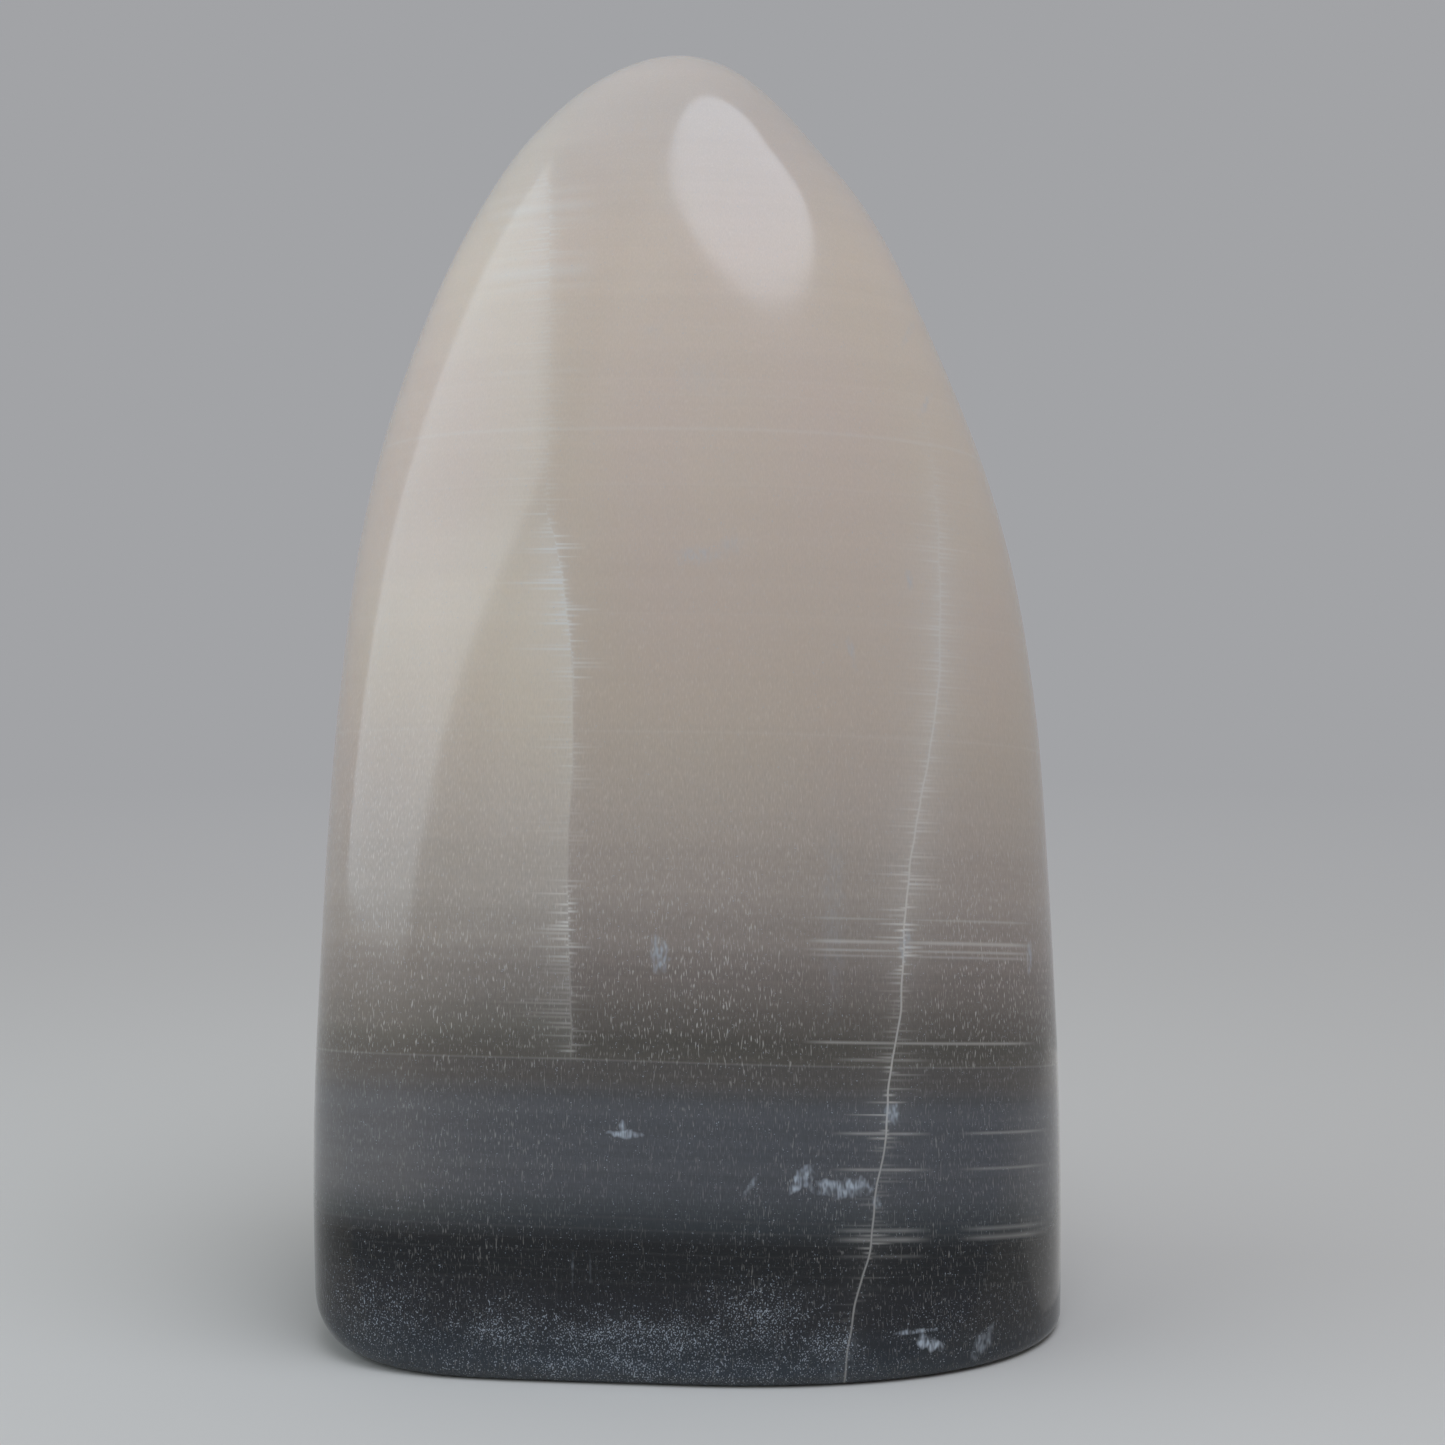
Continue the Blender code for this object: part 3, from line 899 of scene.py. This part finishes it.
def frost_amount(tree, place, layer, front):
    """How thick the frost is: in patches at the front, and in drifts round the foot."""
    total = 0.0
    for frost in FROST:
        off = off_middle(tree, place, frost.across, frost)
        amount = add(tree, RANGE, (off, *FROST_RIM, 0.0, frost.amount))
        total = add(tree, "MAXIMUM", (total, amount))
    drift = add(tree, RANGE, (fibres(tree, place, DRIFT_GRAIN, 1.0), *DRIFTS))
    foot = add(tree, RANGE, (layer, *FROST_FOOT))
    total = add(tree, MIX, (front, foot, total))
    return add(tree, "MULTIPLY", (total, drift))


def dash_paleness(tree, layer, grain, patches):
    """Paleness of the fine upright dashes of the lower stone."""
    dash = add(tree, RANGE, (grain, *DASHES))
    high = add(tree, RANGE, (layer, *DASHES_ABOVE))
    low = add(tree, RANGE, (layer, *DASHES_BELOW))
    uneven = add(tree, RANGE, (patches, *UNEVEN_DASHES))
    return chain(tree, "MULTIPLY", dash, high, low, uneven)


def frost_paleness(tree, place, layer, front):
    """Paleness of the frost: fine white specks, more of them where it is thicker."""
    grains = fibres(tree, place, SPECK_GRAIN, 0.0)
    amount = frost_amount(tree, place, layer, front)
    bar = add(tree, RANGE, (amount, *SPECK_BAR))
    frost = add(tree, "SUBTRACT", (grains, bar))
    frost = add(tree, RANGE, (frost, *SPECKS))
    return add(tree, "MULTIPLY_ADD", (amount, VEIL, frost))


def stone_material(finish):
    """Polished layered calcite.

    Calcite grown in layers, diamond-ground and polished: milky and a little see-through
    in the pale layers, dense in the dark ones, with a wet-looking surface under which
    healed cracks catch the light.
    """
    material = bpy.data.materials.new("polished layered calcite")
    material.use_nodes = True
    tree = material.node_tree
    tree.nodes.clear()
    place = add(tree, "ShaderNodeTexCoord").outputs["Object"]
    place = add(tree, VECTOR, (place, (1.0 / MM,) * 3), operation="MULTIPLY")
    axes = add(tree, SPLIT, (place,)).outputs
    layer = layer_height(tree, place, finish)
    share = add(tree, RANGE, (layer, LOWEST, HIGHEST))
    colour = layer_colour(tree, layer, finish)

    # Slow patches of pinker and of more olive calcite, and the paler zone by the first crack
    patches = fibres(tree, place, [1.0 / length for length in PATCH_SIZE], 0.0)
    patches = add(tree, RANGE, (patches, *PATCH_SPAN))
    tint = add(tree, MIX, (patches, OLIVE_TINT, PINK_TINT), data_type="RGBA")
    upper = add(tree, RANGE, (layer, *TINTED_LAYERS))
    # The zone left of the first crack is partly milkier crystal and partly painted light: the
    # window's light that the crack throws there, a little greener
    milky = lit_milky_share(tree, axes, layer, share)
    for amount, tint in ((upper, tint), (milky, LIT_MILKY_TINT)):
        tint = add(tree, MIX, (amount, NO_TINT, tint), data_type="RGBA")
        colour = add(tree, VECTOR, (colour, tint), operation="MULTIPLY")

    # Fine layering, and the upright grain of the fibres
    fine = add(tree, NOISE, {"W": layer, **FINE_LAYERS}, noise_dimensions="1D")
    grain = fibres(tree, place, FIBRE_GRAIN, 0.0)
    shades = []
    for noise, strength in ((fine, FINE_STRENGTH), (grain, FIBRE_STRENGTH)):
        amount = add(tree, RANGE, (layer, *strength))
        noise = add(tree, "ADD", (noise, -0.5))
        shades.append(add(tree, "MULTIPLY_ADD", (noise, amount, 1.0)))
    shade = chain(tree, "MULTIPLY", *shades)
    colour = add(tree, VECTOR, (colour, shade), operation="SCALE")

    # Marks: painted light at the left end, then all that is white, then all that is bluish white
    front = side_share(tree, axes, "front")
    cracks = crack_paleness(tree, axes, layer, share)
    partings = parting_paleness(tree, axes["X"], layer)
    partings = add(tree, "MULTIPLY", (partings, front))
    dashes = dash_paleness(tree, layer, grain, patches)
    white = chain(tree, "MAXIMUM", cracks, partings, dashes)
    lines = growth_line_paleness(tree, layer)
    white = add(tree, "ADD", (white, lines), use_clamp=True)
    bruises = bruise_paleness(tree, place, axes)
    bruises = add(tree, "MULTIPLY", (bruises, front))
    frost = frost_paleness(tree, place, layer, front)
    bluish = add(tree, "MAXIMUM", (bruises, frost))
    # Painted light: the window's light on the left-hand end of the dark layers
    haze = painted_end_light(tree, axes, layer)
    for amount, cover in ((haze, finish.painted_end_light_colour), (white, finish.crack), (bluish, finish.bruise)):
        colour = add(tree, MIX, (amount, colour, cover), data_type="RGBA")

    shader = add(tree, "ShaderNodeBsdfPrincipled", {
        "Base Color": colour, "Roughness": finish.roughness, "IOR": CALCITE_IOR,
        "Subsurface Weight": 1.0, "Subsurface Radius": WANDERING_LIGHT,
        "Subsurface Scale": finish.depth,
    })
    add(tree, "ShaderNodeOutputMaterial", {"Surface": shader})
    return material


def pointed_at(name, data, place, target):
    """Object with this data at a place, its -Z axis pointing at the target."""
    item = bpy.data.objects.new(name, data)
    item.location = place
    item.rotation_euler = (Vector(target) - Vector(place)).to_track_quat("-Z", "Y").to_euler()
    bpy.context.scene.collection.objects.link(item)
    return item


def soft_light(name, shape, tint, power, width, height, place, target):
    """A soft light that the camera doesn't see."""
    light = bpy.data.lights.new(name, "AREA")
    light.shape = shape
    light.color = tint[:3]
    light.size = width
    light.size_y = height
    light.energy = power
    item = pointed_at(name, light, place, target)
    item.visible_camera = False
    return item


# The floor and wall: steps round them and up the curve, and its radius and the wall's top
SWEEP_STEPS, CURVE_STEPS = 96, 16
WALL_CURVE, WALL_TOP = 0.25, 0.62
# How far out the board goes over into the backdrop, and the backdrop's glow changes
BOARD_ENDS = (0.08, 0.30)
GLOW_CHANGES = (0.20, 0.45)

# The window light: a square, two corners of which black cards cut off slantwise
WINDOW_SIZE = 0.65
WINDOW_PLACE, WINDOW_TARGET = (-0.411, -0.183, 0.350), (-0.006, -0.014, 0.350)
BLACK = (0.01, 0.01, 0.01, 1.0)
BLACK_CARDS = {
    "black_card": ((-0.40, 0.35), (0.42, -0.01), (0.42, 0.42)),
    "low_black_card": ((0.42, 0.115), (0.18, -0.349), (0.42, -0.349)),
}
BLACK_PLACE, BLACK_TARGET = (-0.412, -0.167, 0.350), (0.0, 0.0, 0.350)
# The ceiling light: an oval, turned as it is seen in the polish
CEILING_SIZE = (0.80, 0.60)
CEILING_PLACE, CEILING_TARGET = (0.18, -0.375, 0.715), (0.18, -0.375, 0.0)
CEILING_TURN = math.radians(63.0)
# Cards that lie on the floor: half sizes, and the place of their middles
GREY_CARD, GREY_PLACE = (0.17, 0.065), (0.0, -0.091, 0.001)
LIT_CARD, LIT_PLACE = (0.05, 0.06), (0.087, 0.050, 0.001)
CARD_ROUGHNESS = 0.9

# The camera stands a quarter of a metre in front and looks slightly down, and sees nothing
# nearer than this
CAMERA_PLACE = Vector((0.00295, -0.2576, 0.0778))
CAMERA_PITCH = math.radians(5.153)
CAMERA_LOOK = Vector((0.0, math.cos(CAMERA_PITCH), -math.sin(CAMERA_PITCH)))
NEAREST = 0.01


def sweep(studio, material):
    """The floor, which rises in a curve to an upright wall all round."""
    profile = [(0.0, 0.0), (studio.floor_radius * 0.5, 0.0), (studio.floor_radius, 0.0)]
    for step in range(1, CURVE_STEPS + 1):
        turn = QUARTER_TURN * step / CURVE_STEPS
        profile.append((
            studio.floor_radius + WALL_CURVE * math.sin(turn),
            WALL_CURVE * (1.0 - math.cos(turn)),
        ))
    profile.append((studio.floor_radius + WALL_CURVE, WALL_TOP))
    points = [(0.0, 0.0, 0.0)]
    for radius, height in profile[1:]:
        for step in range(SWEEP_STEPS):
            turn = 2.0 * math.pi * step / SWEEP_STEPS
            points.append((radius * math.cos(turn), radius * math.sin(turn), height))
    faces = [(0, 1 + i, 1 + (i + 1) % SWEEP_STEPS) for i in range(SWEEP_STEPS)]
    for ring in range(len(profile) - 2):
        inner = 1 + ring * SWEEP_STEPS
        outer = inner + SWEEP_STEPS
        for i in range(SWEEP_STEPS):
            j = (i + 1) % SWEEP_STEPS
            faces.append((inner + i, outer + i, outer + j, inner + j))
    mesh = bpy.data.meshes.new("studio_sweep")
    mesh.from_pydata(points, [], faces)
    mesh.shade_smooth()
    mesh.materials.append(material)
    item = bpy.data.objects.new("studio_sweep", mesh)
    bpy.context.scene.collection.objects.link(item)
    return item


def card(name, corners, place, target, colour):
    """Card that the camera doesn't see, with its corners across and up it.

    Matt paper, pressed from fibres: it scatters light evenly and has no shine.
    """
    mesh = bpy.data.meshes.new(name)
    mesh.from_pydata([(x, y, 0.0) for x, y in corners], [], [tuple(range(len(corners)))])
    material = bpy.data.materials.new(f"matt {name.replace('_', ' ')}")
    material.use_nodes = True
    shader = material.node_tree.nodes["Principled BSDF"]
    shader.inputs["Base Color"].default_value = colour
    shader.inputs["Roughness"].default_value = CARD_ROUGHNESS
    mesh.materials.append(material)
    item = pointed_at(name, mesh, place, target)
    item.visible_camera = False
    return item


def floor_card(name, half_size, place, colour, glow):
    """Oblong card on the floor that shows in reflections alone, glowing in its colour."""
    half_x, half_y = half_size
    corners = ((-half_x, -half_y), (half_x, -half_y), (half_x, half_y), (-half_x, half_y))
    item = card(name, corners, place, (*place[:2], 1.0), colour)
    material = item.data.materials[0]
    material.cycles.emission_sampling = "NONE"
    shader = material.node_tree.nodes["Principled BSDF"]
    shader.inputs["Emission Color"].default_value = shader.inputs["Base Color"].default_value
    shader.inputs["Emission Strength"].default_value = glow
    item.visible_shadow = False
    item.visible_diffuse = False
    return item


def sweep_material(studio):
    """Board under chalky paint, rolled on: matt and even, with no shine.

    Away from the stone it goes over into a softly glowing backdrop.
    """
    material = bpy.data.materials.new("matt board and glowing backdrop")
    material.use_nodes = True
    material.cycles.emission_sampling = "NONE"
    tree = material.node_tree
    tree.nodes.clear()
    board = add(tree, "ShaderNodeBsdfDiffuse", {"Color": studio.floor})
    place = add(tree, "ShaderNodeTexCoord").outputs["Object"]
    out = add(tree, VECTOR, (place,), operation="LENGTH")
    higher = add(tree, RANGE, (out, *GLOW_CHANGES))
    glow = add(tree, MIX, (higher, studio.glow_low, studio.glow_high), data_type="RGBA")
    glow = add(tree, "ShaderNodeEmission", {"Color": glow, "Strength": 1.0})
    away = add(tree, RANGE, (out, *BOARD_ENDS), **SMOOTH)
    surface = add(tree, "ShaderNodeMixShader", (away, board, glow))
    add(tree, "ShaderNodeOutputMaterial", {"Surface": surface})
    return material


class CALCITE_OT_stone(bpy.types.Operator):
    """Grow the polished stone in place of its plain solid"""

    bl_idname = "calcite.stone"
    bl_label = "Stone"

    def execute(self, context):
        shape = context.scene.calcite_shape
        values = {name: getattr(shape, setting) for name, _, setting in SHAPE_INPUTS}
        values["Seed"] = WAVE_SEED
        values["Material"] = stone_material(context.scene.calcite_finish)
        stone = grow("calcite_stone", stone_tree(), values)
        if not stone.data.polygons:
            raise RuntimeError("the stone has no faces")
        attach(stone, "root")
        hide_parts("stone")
        return {"FINISHED"}


class CALCITE_OT_stage(bpy.types.Operator):
    """Set up the floor, the wall, the soft lights and the camera"""

    bl_idname = "calcite.stage"
    bl_label = "Stage"

    def execute(self, context):
        scene = context.scene
        studio = scene.calcite_studio
        sweep(studio, sweep_material(studio))
        soft_light("window", "RECTANGLE", studio.window_tint, studio.window, WINDOW_SIZE,
                   WINDOW_SIZE, WINDOW_PLACE, WINDOW_TARGET)
        ceiling = soft_light("ceiling", "ELLIPSE", studio.daylight, studio.ceiling,
                             *CEILING_SIZE, CEILING_PLACE, CEILING_TARGET)
        ceiling.rotation_euler.z = CEILING_TURN
        for name, corners in BLACK_CARDS.items():
            card(name, corners, BLACK_PLACE, BLACK_TARGET, BLACK)
        # A grey card lies under the lens, and a lit one behind the stone on the right
        floor_card("grey_card", GREY_CARD, GREY_PLACE, studio.grey, 0.0)
        floor_card("lit_card", LIT_CARD, LIT_PLACE, studio.floor, studio.rim)

        world = bpy.data.worlds.new("room")
        world.use_nodes = True
        world.node_tree.nodes["Background"].inputs["Color"].default_value = studio.glow_high
        scene.world = world
        scene.view_settings.view_transform = "Standard"

        camera = bpy.data.cameras.new("camera")
        camera.lens = studio.lens
        camera.clip_start = NEAREST
        scene.camera = pointed_at("camera", camera, CAMERA_PLACE, CAMERA_PLACE + CAMERA_LOOK)
        return {"FINISHED"}


class CALCITE_PT_panel(bpy.types.Panel):
    """Settings and steps of the calcite stone"""

    bl_idname = "CALCITE_PT_panel"
    bl_label = "Layered Calcite Stone"
    bl_space_type = "VIEW_3D"
    bl_region_type = "UI"
    bl_category = "Calcite"

    def draw(self, context):
        for operator in OPERATORS:
            self.layout.operator(operator.bl_idname)
        for name, (group, heading) in SETTINGS.items():
            box = self.layout.box()
            box.label(text=heading)
            for setting in group.__annotations__:
                box.prop(getattr(context.scene, name), setting)


SETTINGS = {
    "calcite_shape": (CalciteShape, "Shape"),
    "calcite_finish": (CalciteFinish, "Finish"),
    "calcite_studio": (CalciteStudio, "Studio"),
}
OPERATORS = (CALCITE_OT_stone, CALCITE_OT_stage)


def register():
    for name, (group, heading) in SETTINGS.items():
        bpy.utils.register_class(group)
        setattr(bpy.types.Scene, name, PointerProperty(type=group, name=heading))
    for item in (*OPERATORS, CALCITE_PT_panel):
        bpy.utils.register_class(item)


def unregister():
    for item in (CALCITE_PT_panel, *reversed(OPERATORS)):
        bpy.utils.unregister_class(item)
    for name, (group, _) in SETTINGS.items():
        delattr(bpy.types.Scene, name)
        bpy.utils.unregister_class(group)


def main():
    register()
    for operator in OPERATORS:
        group, name = operator.bl_idname.split(".")
        getattr(getattr(bpy.ops, group), name)()


if __name__ == "__main__":
    main()
